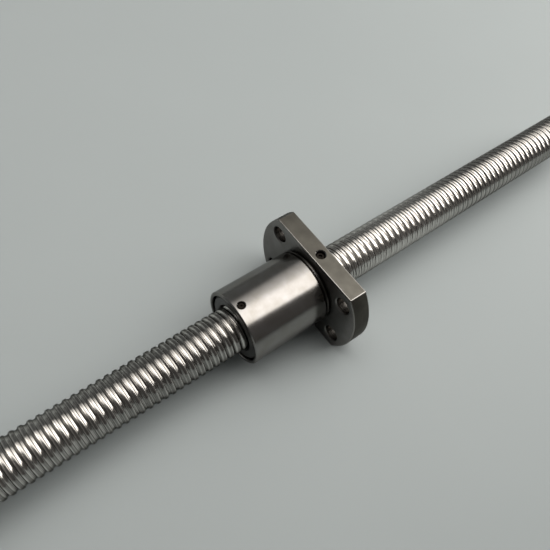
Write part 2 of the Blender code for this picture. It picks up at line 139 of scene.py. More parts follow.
# %% Round bars, for cutters
def bar(start, end, radius, steps):
    """A cylinder between two points."""
    span = Vector(end) - Vector(start)
    place = span.to_track_quat("Z", "Y").to_matrix().to_4x4()
    place.translation = (Vector(start) + Vector(end)) / 2
    work = bmesh.new()
    bmesh.ops.create_cone(
        work, cap_ends=True, segments=steps, radius1=radius, radius2=radius,
        depth=span.length, matrix=place,
    )
    return work


# %% Booleans
def as_object(name, work):
    """Puts a bmesh in an object of its own."""
    mesh = bpy.data.meshes.new(name)
    work.to_mesh(mesh)
    work.free()
    thing = bpy.data.objects.new(name, mesh)
    bpy.context.scene.collection.objects.link(thing)
    return thing


def combined(name, work, steps):
    """Adds or takes away each (operation, bmesh) in turn, and returns the result's bmesh."""
    base = as_object(name, work)
    others = []
    for i, (operation, other) in enumerate(steps):
        tool = as_object(f"{name}_tool_{i}", other)
        step = base.modifiers.new(tool.name, "BOOLEAN")
        step.operation = operation
        step.solver = "EXACT"
        step.object = tool
        others.append(tool)
    graph = bpy.context.evaluated_depsgraph_get()
    result = bmesh.new()
    result.from_mesh(base.evaluated_get(graph).to_mesh())
    for thing in [base, *others]:
        mesh = thing.data
        bpy.data.objects.remove(thing)
        bpy.data.meshes.remove(mesh)
    return tidy(result)


# %% Finish a piece
def finish_piece(name, work, body, stands_for, materials, sharp=35):
    """Lifts a bmesh to the real axis and makes it a piece that rides on a body."""
    bmesh.ops.translate(work, vec=(0, 0, AXIS_Z), verts=work.verts)
    mesh = bpy.data.meshes.new(name)
    work.to_mesh(mesh)
    work.free()
    mesh.shade_smooth()
    mesh.set_sharp_from_angle(angle=math.radians(sharp))
    for material in materials:
        mesh.materials.append(material)
    piece = bpy.data.objects.new(name, mesh)
    bpy.context.scene.collection.objects.link(piece)
    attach(piece, body)
    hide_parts(*stands_for)
    mesh.calc_loop_triangles()
    print(f"{name}: {len(mesh.loop_triangles)} triangles")


# %% [markdown]
# ## Materials
#
# A material starts from what the real surface is and how it was made. Colours are written as
# sRGB hex values, as a colour picker gives them, and one function turns them to the linear
# values that the shader wants. Another function adds a node with its settings and links.

# %% Colour and node helpers
def linear(hexcode):
    """An sRGB hex colour as linear RGBA."""
    channels = [int(hexcode[i:i + 2], 16) / 255 for i in (1, 3, 5)]
    return (*[c / 12.92 if c <= 0.04045 else ((c + 0.055) / 1.055) ** 2.4 for c in channels], 1.0)


def new_material(name, **settings):
    """A material and its shader, with the shader's sockets set by name."""
    material = bpy.data.materials.new(name)
    material.use_nodes = True
    shader = material.node_tree.nodes["Principled BSDF"]
    for socket, value in settings.items():
        shader.inputs[socket.replace("_", " ")].default_value = value
    return material, material.node_tree, shader


def add_node(tree, kind, links=(), **settings):
    """Adds a node. Settings name its properties or its sockets, and each link is
    (socket, where it comes from)."""
    node = tree.nodes.new(kind)
    for name, value in settings.items():
        if hasattr(node, name):
            setattr(node, name, value)
        else:
            node.inputs[name.replace("_", " ")].default_value = value
    for socket, source in links:
        tree.links.new(source, node.inputs[socket])
    return node


# %% [markdown]
# ### Grinding lines
#
# A wheel that grinds a turning bar leaves fine lines that run round it. They are what pulls a
# highlight out into soft streaks across the lines. Noise that is stretched round the bar and
# squeezed along it makes such lines: it reads Object coordinates, scaled up along X only. The
# real lines are about 0.01 mm apart, too fine for the picture, so these are drawn coarser.

# %% Grinding lines
def ground_lines(tree, spacing, across=0.05):
    """A noise value that changes along X every spacing, and slowly round the bar."""
    place = add_node(tree, "ShaderNodeTexCoord")
    squeeze = add_node(
        tree, "ShaderNodeMapping", [("Vector", place.outputs["Object"])],
        Scale=(1 / spacing, across / spacing, across / spacing),
    )
    return add_node(
        tree, "ShaderNodeTexNoise", [("Vector", squeeze.outputs["Vector"])],
        Scale=1.0, Detail=3.0, Roughness=0.6,
    )


# %% [markdown]
# ### Lines that follow the thread
#
# The thread is ground with a wheel that runs along the helix, so its lines wind with it. A
# point's place across the thread is its turn: the angle along one lead less the angle round
# the bar. The noise reads the cosine and sine of that turn, so it meets itself at every turn
# without a seam. A slow drift along the bar keeps the turns from being all alike. Only about
# seven lines in a lead are drawn, far coarser than real ones, because the picture shows no
# more.

# %% Lines that follow the thread
LINES_PER_LEAD = 7
DRIFT = 0.012 / MM


def thread_lines(tree):
    """A noise value that changes across the thread and nearly repeats with each turn of it."""
    place = add_node(tree, "ShaderNodeTexCoord")
    lifted = add_node(
        tree, "ShaderNodeMapping", [("Vector", place.outputs["Object"])],
        Location=(0, 0, -AXIS_Z),
    )
    parts = add_node(tree, "ShaderNodeSeparateXYZ", [("Vector", lifted.outputs["Vector"])])
    x, y, z = parts.outputs
    round_bar = add_node(tree, "ShaderNodeMath", [(0, z), (1, y)], operation="ARCTAN2")
    along = add_node(tree, "ShaderNodeMath", [(0, x)], operation="MULTIPLY")
    along.inputs[1].default_value = 2 * math.pi / LEAD
    turn = add_node(
        tree, "ShaderNodeMath", [(0, along.outputs["Value"]), (1, round_bar.outputs["Value"])],
        operation="SUBTRACT",
    )
    drift = add_node(tree, "ShaderNodeMath", [(0, x)], operation="MULTIPLY")
    drift.inputs[1].default_value = DRIFT
    ring = add_node(tree, "ShaderNodeCombineXYZ", [("Z", drift.outputs["Value"])])
    for axis, operation in (("X", "COSINE"), ("Y", "SINE")):
        wave = add_node(
            tree, "ShaderNodeMath", [(0, turn.outputs["Value"])], operation=operation
        )
        tree.links.new(wave.outputs["Value"], ring.inputs[axis])
    return add_node(
        tree, "ShaderNodeTexNoise", [("Vector", ring.outputs["Vector"])],
        Scale=LINES_PER_LEAD / (2 * math.pi), Detail=2.0, Roughness=0.6,
    )


# %% [markdown]
# ### One metal, many finishes
#
# All the steel comes from one function. The lines drive a fine bump and a small spread in
# roughness, and slow clouds tint the colour, as oil and handling do. The edge colour is
# below white because the steel's far sides otherwise came out brighter than in the
# photograph: it is set for the picture, not measured on steel. The thread gets two things
# more: darker lines in its colour, and grain along the screw, which draws each highlight out
# across the grinding lines.

# %% Metals
NOISE_LOW, NOISE_HIGH = 0.3, 0.7
CLOUD_SIZE = 3 * MM
PLAIN_EDGE = "#C4C4C4"
STREAK_NOISE_LOW, STREAK_NOISE_HIGH = 0.42, 0.58
STREAK_LOW, STREAK_HIGH = 0.4, 1.1
THREAD_GRAIN = 0.85


def add_streaks(tree, shader, lines, colour):
    """Dark lines in the thread's colour, and its highlights drawn out along X."""
    streaks = add_node(
        tree, "ShaderNodeMapRange", [("Value", lines)], From_Min=STREAK_NOISE_LOW,
        From_Max=STREAK_NOISE_HIGH, To_Min=STREAK_LOW, To_Max=STREAK_HIGH,
    )
    shade = add_node(
        tree, "ShaderNodeVectorMath", [(0, colour), ("Scale", streaks.outputs["Result"])],
        operation="SCALE",
    )
    tree.links.new(shade.outputs["Vector"], shader.inputs["Base Color"])
    grain = add_node(tree, "ShaderNodeCombineXYZ", X=1.0)
    tree.links.new(grain.outputs["Vector"], shader.inputs["Tangent"])
    shader.inputs["Anisotropic"].default_value = THREAD_GRAIN


def metal(name, colour, roughness, spread, spacing, bump, tint=None, edge=PLAIN_EDGE):
    """A metal with lines in its bump, and a little spread in roughness and colour. spacing is
    the distance between its lines, or None for the thread, whose lines follow the helix."""
    material, tree, shader = new_material(
        name, Base_Color=linear(colour), Metallic=1.0, Specular_Tint=linear(edge)
    )
    pattern = ground_lines(tree, spacing) if spacing else thread_lines(tree)
    lines = pattern.outputs["Fac"]
    rough = add_node(
        tree, "ShaderNodeMapRange", [("Value", lines)], From_Min=NOISE_LOW,
        From_Max=NOISE_HIGH, To_Min=roughness - spread, To_Max=roughness + spread,
    )
    tree.links.new(rough.outputs["Result"], shader.inputs["Roughness"])
    place = add_node(tree, "ShaderNodeTexCoord")
    clouds = add_node(
        tree, "ShaderNodeTexNoise", [("Vector", place.outputs["Object"])],
        Scale=1 / CLOUD_SIZE, Detail=4.0,
    )
    ramp = add_node(tree, "ShaderNodeValToRGB", [("Fac", clouds.outputs["Fac"])])
    ramp.color_ramp.elements[0].position = NOISE_LOW
    ramp.color_ramp.elements[0].color = linear(tint or colour)
    ramp.color_ramp.elements[1].position = NOISE_HIGH
    ramp.color_ramp.elements[1].color = linear(colour)
    tree.links.new(ramp.outputs["Color"], shader.inputs["Base Color"])
    relief = add_node(
        tree, "ShaderNodeBump", [("Height", lines)], Strength=1.0, Distance=bump
    )
    tree.links.new(relief.outputs["Normal"], shader.inputs["Normal"])
    if not spacing:
        add_streaks(tree, shader, lines, ramp.outputs["Color"])
    return material


# The thread is ground, then polished: bright, with streaks.
POLISHED_SCREW = metal(
    "polished_screw_steel", "#D8D5D0", 0.21, 0.03, None, 0.012 * MM, "#C6C3BE",
    edge="#747474",
)
# The body is ground to fit a bore: a soft, even sheen.
GROUND_BODY = metal(
    "ground_nut_steel", "#918F8D", 0.19, 0.03, 0.1 * MM, 0.0015 * MM, "#86837E",
)
# The flats and the rim look dull and a little brown in the photograph.
MILLED_FLAT = metal(
    "milled_flange_steel", "#5A5852", 0.42, 0.05, 0.25 * MM, 0.002 * MM, "#4C4A45",
)
# The flange's faces are duller than ground steel. Their turning rings aren't drawn.
TURNED_FACE = metal(
    "turned_flange_steel", "#8C8A88", 0.36, 0.05, 0.2 * MM, 0.001 * MM, "#807E7B",
)
# The neck is painted nearly black: painted shade for a groove deeper than the one built, and dark
# residue in it.
NECK_SHADE_AND_RESIDUE_STEEL = metal("neck_shade_and_residue_steel", "#2C2926", 0.4, 0.05, 0.2 * MM, 0.001 * MM)
# Drilled walls are smooth enough to throw a short reflection.
DRILLED_HOLE = metal("drilled_hole_steel", "#6A6763", 0.25, 0.05, 0.15 * MM, 0.001 * MM)
# Balls are lapped nearly to a mirror.
BALL_STEEL = metal("polished_ball_steel", "#C4C4C4", 0.06, 0.01, 0.2 * MM, 0.0002 * MM)
# Sintered deflectors are grey and matt.
DEFLECTOR_STEEL = metal(
    "sintered_deflector_steel", "#8A8884", 0.42, 0.05, 0.1 * MM, 0.002 * MM,
)
# Grub screws are blackened with oil: nearly black, with a faint sheen.
BLACKENED = metal("blackened_grub_steel", "#1E1B18", 0.38, 0.06, 0.1 * MM, 0.001 * MM)


# %% [markdown]
# ### Moulded plastic
#
# The rings at the nut's ends are moulded plastic. It has a fine, even grain from the mould, a
# soft sheen and no metal in it, so it stays dark where the steel beside it flashes.

# %% Plastics
def plastic(name, colour, roughness, grain, depth):
    """A plastic whose bump has specks of the size grain and the height depth."""
    material, tree, shader = new_material(
        name, Base_Color=linear(colour), Roughness=roughness, IOR=1.49
    )
    place = add_node(tree, "ShaderNodeTexCoord")
    speckle = add_node(
        tree, "ShaderNodeTexNoise", [("Vector", place.outputs["Object"])],
        Scale=1 / grain, Detail=2.0,
    )
    relief = add_node(
        tree, "ShaderNodeBump", [("Height", speckle.outputs["Fac"])],
        Strength=1.0, Distance=depth,
    )
    tree.links.new(relief.outputs["Normal"], shader.inputs["Normal"])
    return material


RING_PLASTIC = plastic("moulded_ring_plastic", "#4A4A48", 0.42, 0.15 * MM, 0.004 * MM)
WIPER_PLASTIC = plastic("moulded_wiper_plastic", "#5B5B58", 0.5, 0.15 * MM, 0.004 * MM)

# %% [markdown]
# ## The screw
#
# The ball thread is one outline wound round the bar. A single lead of that outline, with the
# round groove in its middle and flat land at both sides, is spun with a step along the axis
# after each small turn. That makes a helix, and where one turn ends the next begins, so
# welding the doubled points closes the surface. Grinding leaves the land's edges a little
# rounded, and those rounded edges catch the light as thin bright lines. A shallow relief
# line runs along the groove's bottom, where the balls never touch. It is a guess from how
# such grooves are made, because the photograph is too coarse to show it.

# %% One lead of the groove's outline
EDGE_ROUND = 0.16 * MM
RELIEF_WIDTH = 0.16 * MM
RELIEF_DEPTH = 0.03 * MM
GROOVE_SEGMENTS = 3
EDGE_SEGMENTS = 3


def groove_outline(crest_r, edge_r, side=-1):
    """One lead of outline as (x, radius) points about the groove's middle. side is -1 for a
    groove in a screw and 1 for one in a nut's bore."""
    rise = abs(BALL_CIRCLE_R - crest_r) + edge_r
    reach = math.sqrt((RACE_R + edge_r) ** 2 - rise ** 2)
    half = math.atan2(reach, rise)
    relief_half = RELIEF_WIDTH / 2 / RACE_R
    points = []
    for side_x in (-1, 1):
        for i in range(GROOVE_SEGMENTS + 1):
            share = i / GROOVE_SEGMENTS if side_x > 0 else 1 - i / GROOVE_SEGMENTS
            angle = relief_half + (half - relief_half) * share
            x = side_x * RACE_R * math.sin(angle)
            points.append((x, BALL_CIRCLE_R + side * RACE_R * math.cos(angle)))
        if side_x < 0:
            points.append((0.0, BALL_CIRCLE_R + side * (RACE_R + RELIEF_DEPTH)))
    edge = []
    for i in range(1, EDGE_SEGMENTS + 1):
        angle = half * (1 - i / EDGE_SEGMENTS)
        x = reach - edge_r * math.sin(angle)
        edge.append((x, crest_r + side * edge_r * (1 - math.cos(angle))))
    left = [(-x, radius) for x, radius in reversed(edge)]
    return left + points + edge + [(LEAD + left[0][0], crest_r)]


outline = groove_outline(CREST_R, EDGE_ROUND)
print(f"outline: {len(outline)} points, land {(outline[-1][0] - outline[-2][0]) / MM:.2f} mm")

# %% Wind the outline into a thread
def wound(outline, start_x, end_x, steps):
    """The outline wound along X from before start_x to past end_x, then cut flat at both.
    One turn is spun, and its copies are laid end to end, with their number doubled each
    time: a spin of all the turns at once would take minutes."""
    back = math.ceil((GROOVE_X - start_x) / LEAD) + 2
    first = GROOVE_X - back * LEAD
    turns = math.ceil((end_x - first) / LEAD) + 2
    work = bmesh.new()
    line = profile_edges(work, [(first + x, radius) for x, radius in outline])
    bmesh.ops.spin(
        work, geom=line, cent=(0, 0, 0), axis=(1, 0, 0), dvec=(LEAD / steps, 0, 0),
        angle=2 * math.pi, steps=steps, use_merge=False,
    )
    laid = 1
    while laid < turns:
        whole = work.verts[:] + work.edges[:] + work.faces[:]
        copied = bmesh.ops.duplicate(work, geom=whole)["geom"]
        verts = [item for item in copied if isinstance(item, bmesh.types.BMVert)]
        bmesh.ops.translate(work, vec=(laid * LEAD, 0, 0), verts=verts)
        laid *= 2
    bmesh.ops.remove_doubles(work, verts=work.verts, dist=WELD)
    for x, side in ((start_x, -1), (end_x, 1)):
        whole = work.verts[:] + work.edges[:] + work.faces[:]
        bmesh.ops.bisect_plane(
            work, geom=whole, dist=MERGE, plane_co=(x, 0, 0), plane_no=(side, 0, 0),
            clear_outer=True,
        )
    return work


# %% The screw's ends
SCREW_STEPS = 60
END_CHAMFER = 0.8 * MM
CENTRE_HOLE_R = 1.5 * MM
CENTRE_HALF_ANGLE = math.radians(30)
CENTRE_HOLE_DEPTH = CENTRE_HOLE_R / math.tan(CENTRE_HALF_ANGLE)
CENTRE_TIP_R = 1e-9


def end_loop(work, x):
    """The open edges in the plane at x."""
    return [
        edge for edge in work.edges
        if edge.is_boundary and all(abs(v.co.x - x) < MERGE for v in edge.verts)
    ]


def moved_loop(work, edges, x, radius):
    """Extrudes a round edge loop and gives the new loop its x and radius."""
    grown = bmesh.ops.extrude_edge_only(work, edges=edges)["geom"]
    for item in grown:
        if isinstance(item, bmesh.types.BMVert):
            arm = Vector((0, item.co.y, item.co.z)).normalized() * radius
            item.co = (x, arm.y, arm.z)
    return [item for item in grown if isinstance(item, bmesh.types.BMEdge) and item.is_boundary]


half_length = SCREW_LENGTH / 2
work = wound(outline, -half_length, half_length, SCREW_STEPS)
for side in (-1, 1):
    whole = work.verts[:] + work.edges[:] + work.faces[:]
    bmesh.ops.bisect_plane(
        work, geom=whole, dist=MERGE, plane_co=(side * (half_length - END_CHAMFER), 0, 0),
        plane_no=(1, 0, 0),
    )
for vert in work.verts:
    allowed = CREST_R - max(0.0, abs(vert.co.x) - (half_length - END_CHAMFER))
    radius = math.hypot(vert.co.y, vert.co.z)
    if radius > allowed:
        vert.co.y *= allowed / radius
        vert.co.z *= allowed / radius
for side in (-1, 1):
    x = side * half_length
    rim = moved_loop(work, end_loop(work, x), x, CENTRE_HOLE_R)
    moved_loop(work, rim, x - side * CENTRE_HOLE_DEPTH, CENTRE_TIP_R)
tidy(work)
finish_piece(
    "ground_screw", work, "screw", ["screw_shaft"], [POLISHED_SCREW]
)

# %% [markdown]
# ## The nut
#
# The nut is one piece of steel. Its body is turned and ground, the neck beside the flange is
# cut as relief for the grinding wheel, and the flange is milled to two flats. Here the body
# is a spun profile, the flange is an extruded outline, and the bores, bolt holes and grub
# holes are taken away, each by a cutter that carries the hole's own chamfer.

# %% The nut's blank
TURN_STEPS = 144
BODY_CHAMFER = 0.3 * MM
NECK_LENGTH = 1.5 * MM
NECK_DEPTH = 0.45 * MM
NECK_CHAMFER = 0.1 * MM
RIB_WIDTH = 0.45 * MM
RIB_DROP = 0.12 * MM
neck_r = BODY_R - NECK_DEPTH
rib_x = FLANGE_FACE_X - (NECK_LENGTH + RIB_WIDTH) / 2
inside_flange = FLANGE_FACE_X + FLANGE_THICKNESS / 2
blank = turned([
    (BODY_END_X, 0.0),
    (BODY_END_X, BODY_R - BODY_CHAMFER),
    (BODY_END_X + BODY_CHAMFER, BODY_R),
    (FLANGE_FACE_X - NECK_LENGTH - NECK_CHAMFER, BODY_R),
    (FLANGE_FACE_X - NECK_LENGTH, BODY_R - NECK_CHAMFER),
    (FLANGE_FACE_X - NECK_LENGTH, neck_r),
    (rib_x, neck_r),
    (rib_x, BODY_R - RIB_DROP),
    (rib_x + RIB_WIDTH, BODY_R - RIB_DROP),
    (rib_x + RIB_WIDTH, neck_r),
    (inside_flange, neck_r),
    (inside_flange, 0.0),
], TURN_STEPS)
print(f"nut blank: {len(blank.faces)} faces")

# %% The flange
FLANGE_CHAMFER = 0.25 * MM
CORNER_ROUND = 0.18 * MM
LOBE_STEPS = 56
FLANGE_EDGE_SEGMENTS = 3
SEAT_RELIEF = 0.15 * MM


def round_edges(work, edges, width, segments, clamp=False):
    """Rounds these edges. clamp keeps the roundings of neighbours from crossing."""
    bmesh.ops.bevel(
        work, geom=edges, offset=width, offset_type="OFFSET", affect="EDGES",
        segments=segments, profile=0.5, material=-1, clamp_overlap=clamp,
    )


def flange_plate():
    """Two arcs joined by two flats, drawn at the seat face, extruded and rounded."""
    work = bmesh.new()
    corner = math.asin(AXIS_Z / FLANGE_R)
    rim = []
    for lobe in (0.0, math.pi):
        for i in range(LOBE_STEPS + 1):
            angle = lobe + corner * (2 * i / LOBE_STEPS - 1)
            place = (FLANGE_FACE_X, FLANGE_R * math.cos(angle), FLANGE_R * math.sin(angle))
            rim.append(work.verts.new(place))
    work.faces.new(rim)
    grown = bmesh.ops.extrude_face_region(work, geom=work.faces[:])["geom"]
    for item in grown:
        if isinstance(item, bmesh.types.BMVert):
            item.co.x = FLANGE_END_X
    corners = [
        edge for edge in work.edges
        if all(abs(abs(v.co.z) - AXIS_Z) < MERGE for v in edge.verts)
        and abs(edge.verts[0].co.x - edge.verts[1].co.x) > MERGE
    ]
    round_edges(work, corners, CORNER_ROUND, FLANGE_EDGE_SEGMENTS)
    outline_edges = [
        edge for edge in work.edges if abs(edge.verts[0].co.x - edge.verts[1].co.x) < MERGE
    ]
    round_edges(work, outline_edges, FLANGE_CHAMFER, FLANGE_EDGE_SEGMENTS, clamp=True)
    return tidy(work)


plate = flange_plate()
print(f"flange: {len(plate.faces)} faces")

# %% Cutters for the nut
BOLT_CIRCLE_R = 14.5 * MM
BOLT_ANGLE = math.radians(30)
BOLT_HOLE_R = 2.25 * MM
BOLT_CHAMFER = 0.25 * MM
GRUB_CHAMFER = 0.18 * MM
BODY_GRUB = (BODY_END_X + 1.9 * MM, 1.0 * MM, BODY_R)
FLANGE_GRUB = (FLANGE_FACE_X + FLANGE_THICKNESS / 2, 1.25 * MM, AXIS_Z)
HOLE_STEPS = 48
COUNTERBORE_CHAMFER = 0.15 * MM
TAP_EDGE_ROUND = 0.08 * MM
TAP_STEPS = 48


def bolt_cutter(y, z):
    """A through hole with a chamfer at both faces of the flange."""
    big = BOLT_HOLE_R + BOLT_CHAMFER + OVERSHOOT
    small = BOLT_HOLE_R
    work = turned([
        (FLANGE_FACE_X - OVERSHOOT, 0.0),
        (FLANGE_FACE_X - OVERSHOOT, big),
        (FLANGE_FACE_X + BOLT_CHAMFER, small),
        (FLANGE_END_X - BOLT_CHAMFER, small),
        (FLANGE_END_X + OVERSHOOT, big),
        (FLANGE_END_X + OVERSHOOT, 0.0),
    ], HOLE_STEPS)
    bmesh.ops.translate(work, vec=(0, y, z), verts=work.verts)
    return work


def grub_cutter(x, radius, top):
    """A hole down to the counterbore, with a chamfer at its mouth."""
    work = turned([
        (COUNTERBORE_R - OVERSHOOT, 0.0),
        (COUNTERBORE_R - OVERSHOOT, radius),
        (top - GRUB_CHAMFER, radius),
        (top + OVERSHOOT, radius + GRUB_CHAMFER + OVERSHOOT),
        (top + OVERSHOOT, 0.0),
    ], HOLE_STEPS)
    upright = Matrix.Rotation(-math.pi / 2, 4, "Y")
    bmesh.ops.transform(work, matrix=Matrix.Translation((x, 0, 0)) @ upright, verts=work.verts)
    return work


def counterbore(mouth_x, floor_x):
    """The seat for the end rings, with a small chamfer at its mouth."""
    way = 1 if mouth_x > floor_x else -1
    return turned([
        (floor_x, 0.0),
        (floor_x, COUNTERBORE_R),
        (mouth_x - way * COUNTERBORE_CHAMFER, COUNTERBORE_R),
        (mouth_x + way * OVERSHOOT, COUNTERBORE_R + COUNTERBORE_CHAMFER + OVERSHOOT),
        (mouth_x + way * OVERSHOOT, 0.0),
    ], TURN_STEPS)


def closed_thread(outline, start_x, end_x, steps):
    """A wound thread with flat ends, used as a tap."""
    work = wound(outline, start_x, end_x, steps)
    for x in (start_x, end_x):
        bmesh.ops.edgeloop_fill(work, edges=end_loop(work, x))
    return tidy(work)


bolt_places = [
    (side * BOLT_CIRCLE_R * math.cos(BOLT_ANGLE), rise * BOLT_CIRCLE_R / 2)
    for side in (-1, 1) for rise in (-1, 1)
]
bolt_holes = [bolt_cutter(y, z) for y, z in bolt_places]
tap = closed_thread(
    groove_outline(LAND_R, TAP_EDGE_ROUND, side=1),
    BODY_FLOOR_X - OVERSHOOT, FLANGE_FLOOR_X + OVERSHOOT, TAP_STEPS,
)
print(f"cutters: {len(bolt_holes)} bolt holes and a tap of {len(tap.faces)} faces")

# %% [markdown]
# ## Where the deflectors sit
#
# Each circuit of balls runs almost once round, and then a deflector lifts the balls over the
# land and back into the turn where they began. Three deflectors are spread round the nut, a
# third of a turn apart, each in a pocket above the land between two turns of the groove.

# %% Deflectors and their pockets
CIRCUITS = 3
CIRCUIT_SPACING = (2 + 1 / 3) * LEAD
CROSSING_ANGLE = math.radians(60)
CROSSING_RISE = 0.5 * MM
CHANNEL_R = 0.7 * MM
BALL_PLAY = 0.05 * MM
DEFLECTOR_LENGTH = 7.8 * MM
DEFLECTOR_WIDTH = 4.2 * MM
DEFLECTOR_TOP = 7.7 * MM
DEFLECTOR_ROUND = 0.2 * MM
DEFLECTOR_STEPS = 32


def circuit_middle(number):
    """A circuit's x, and the angle from +Y at which the land passes under its deflector."""
    x = THREAD_MIDDLE_X + (number - (CIRCUITS - 1) / 2) * CIRCUIT_SPACING
    turns = (x - GROOVE_X) / LEAD - 0.5
    return x, 2 * math.pi * (turns % 1.0)


def insert_block(number, grow, round_top):
    """A round-ended block that stands out along the deflector's radius."""
    work = bmesh.new()
    turn = Matrix.Rotation(math.pi / DEFLECTOR_STEPS, 4, "Z")
    plan = bmesh.ops.create_circle(
        work, cap_ends=True, segments=DEFLECTOR_STEPS, radius=DEFLECTOR_WIDTH / 2 + grow,
        matrix=turn,
    )
    straight = (DEFLECTOR_LENGTH - DEFLECTOR_WIDTH) / 2
    for vert in plan["verts"]:
        vert.co.y += math.copysign(straight, vert.co.y)
        vert.co.z = LAND_R - 2 * OVERSHOOT
    grown = bmesh.ops.extrude_face_region(work, geom=work.faces[:])["geom"]
    top_z = DEFLECTOR_TOP + grow
    for item in grown:
        if isinstance(item, bmesh.types.BMVert):
            item.co.z = top_z
    if round_top:
        rim = [e for e in work.edges if all(abs(v.co.z - top_z) < MERGE for v in e.verts)]
        round_edges(work, rim, DEFLECTOR_ROUND, 2)
    x, angle = circuit_middle(number)
    place = Matrix.Translation((x, 0, 0)) @ Matrix.Rotation(angle - math.pi / 2, 4, "X")
    bmesh.ops.transform(work, matrix=place, verts=work.verts)
    return tidy(work)


pockets = [insert_block(number, SEAT_GAP, False) for number in range(CIRCUITS)]
print(f"pockets: {len(pockets)}")

# %% Cut the nut
relief = bar(
    (FLANGE_FACE_X - OVERSHOOT, 0, 0), (FLANGE_FACE_X + SEAT_RELIEF, 0, 0),
    BODY_R + SEAT_RELIEF, TURN_STEPS,
)
plate = combined("flange_plate", plate, [("DIFFERENCE", relief)])
cuts = [
    ("UNION", plate),
    ("DIFFERENCE", counterbore(BODY_END_X, BODY_FLOOR_X)),
    ("DIFFERENCE", counterbore(FLANGE_END_X, FLANGE_FLOOR_X)),
    ("DIFFERENCE", tap),
    ("DIFFERENCE", grub_cutter(*BODY_GRUB)),
    ("DIFFERENCE", grub_cutter(*FLANGE_GRUB)),
]
cuts += [("DIFFERENCE", hole) for hole in bolt_holes]
cuts += [("DIFFERENCE", pocket) for pocket in pockets]
work = combined("nut", blank, cuts)
print(f"nut: {len(work.faces)} faces")

# %% [markdown]
# ### One nut, five finishes
#
# The nut is one piece of steel, but each tool leaves its own surface: a grinder on the body,
# a mill on the flats, a lathe on the flange's faces and a drill in the holes. The neck is
# painted nearly black, as painted shade for a groove deeper than the one built and for dark
# residue in it. Each face is told by where its middle is and which way it looks. The flange's
# rounded edges take the ground finish, which draws them as the photograph's thin bright
# lines.

# %% Finishes of the nut
GROUND, MILLED, TURNED, NECK_SHADE_AND_RESIDUE, DRILLED = range(5)
SLACK = 0.03 * MM
# How much a face looks along an axis: 1 is straight along it, and 0 is square to it.
FULLY, MOSTLY, HALF, HARDLY = 0.99, 0.7, 0.5, 0.05


def surface_of(face):
    """The number of the finish on this face."""
    middle, normal = face.calc_center_median(), face.normal
    radius = math.hypot(middle.y, middle.z)
    if abs(middle.x - FLANGE_FACE_X) < MERGE and abs(normal.x) > FULLY:
        return TURNED
    # The neck takes the nearly black steel: painted shade of a deeper groove, and dark residue in
    # it.
    if FLANGE_FACE_X - NECK_LENGTH - SLACK < middle.x < FLANGE_FACE_X + SEAT_RELIEF + SLACK:
        if LAND_R + OVERSHOOT < radius < BODY_R - RIB_DROP - SLACK:
            return NECK_SHADE_AND_RESIDUE
    if middle.x < FLANGE_FACE_X - MERGE:
        return GROUND
    for y, z in bolt_places:
        if math.hypot(middle.y - y, middle.z - z) < BOLT_HOLE_R and abs(normal.x) < HALF:
            return DRILLED
    if abs(normal.z) > FULLY and abs(middle.z) > AXIS_Z - SLACK:
        return MILLED
    at_rim = radius > FLANGE_R - FLANGE_CHAMFER
    if at_rim and abs(normal.x) < MOSTLY < abs(normal.z) < FULLY:
        return GROUND
    if abs(normal.x) > FULLY or radius < FLANGE_R - FLANGE_CHAMFER - SLACK:
        on_edge = HARDLY < abs(normal.x) < FULLY and abs(middle.z) > AXIS_Z - FLANGE_CHAMFER
        return GROUND if on_edge else TURNED
    return MILLED if abs(normal.x) < HARDLY else GROUND


for face in work.faces:
    face.material_index = surface_of(face)
finish_piece(
    "ground_nut", work, "nut", ["nut_body"],
    [GROUND_BODY, MILLED_FLAT, TURNED_FACE, NECK_SHADE_AND_RESIDUE_STEEL, DRILLED_HOLE],
)

# %% [markdown]
# ## Rings at the ends of the nut
#
# A plastic ring in each counterbore keeps dirt out and grease in. It is turned or moulded
# with a groove round it, and the point of a grub screw sits in that groove. Behind it lies a
# loose wiper ring that turns with the screw.

# %% End rings and wiper rings
RING_STEPS = 128
RING_R = COUNTERBORE_R - SEAT_GAP
END_RING_SUNK = 0.4 * MM
END_RING_WIDTH = 3.2 * MM
RING_CHAMFER = 0.4 * MM
RING_GROOVE_R = 7.9 * MM
RING_GROOVE_WIDTH = 1.6 * MM
WIPER_WIDTH = 1.5 * MM


def end_ring(name, face_x, way, grub_x, node):
    """A ring whose outer face is at face_x. way points from there into the nut."""
    start = abs(grub_x - face_x) - RING_GROOVE_WIDTH / 2
    end = start + RING_GROOVE_WIDTH
    inner_chamfer = 0.2 * MM
    outline = [
        (inner_chamfer, LAND_R),
        (0.0, LAND_R + inner_chamfer),
        (0.0, RING_R - RING_CHAMFER),
        (RING_CHAMFER, RING_R),
        (start, RING_R),
        (start, RING_GROOVE_R),
        (end, RING_GROOVE_R),
        (end, RING_R),
        (END_RING_WIDTH, RING_R),
        (END_RING_WIDTH, LAND_R),
    ]
    work = turned([(face_x + way * x, radius) for x, radius in outline], RING_STEPS, closed=True)
    finish_piece(name, work, "nut", [node], [RING_PLASTIC])


def wiper(name, floor_x, way, node):
    """The loose ring between an end ring and the counterbore's floor, with a thin lip."""
    near = SEAT_GAP
    far = SEAT_GAP + WIPER_WIDTH
    lip = 0.3 * MM
    outline = [
        (near, LAND_R + lip),
        (near, RING_R - lip / 2),
        (near + lip / 2, RING_R),
        (far - lip / 2, RING_R),
        (far, RING_R - lip / 2),
        (far, LAND_R + lip),
        ((near + far) / 2 + lip / 2, LAND_R),
        ((near + far) / 2 - lip / 2, LAND_R),
    ]
    work = turned([(floor_x + way * x, radius) for x, radius in outline], RING_STEPS, closed=True)
    finish_piece(name, work, "wipers", [node], [WIPER_PLASTIC])


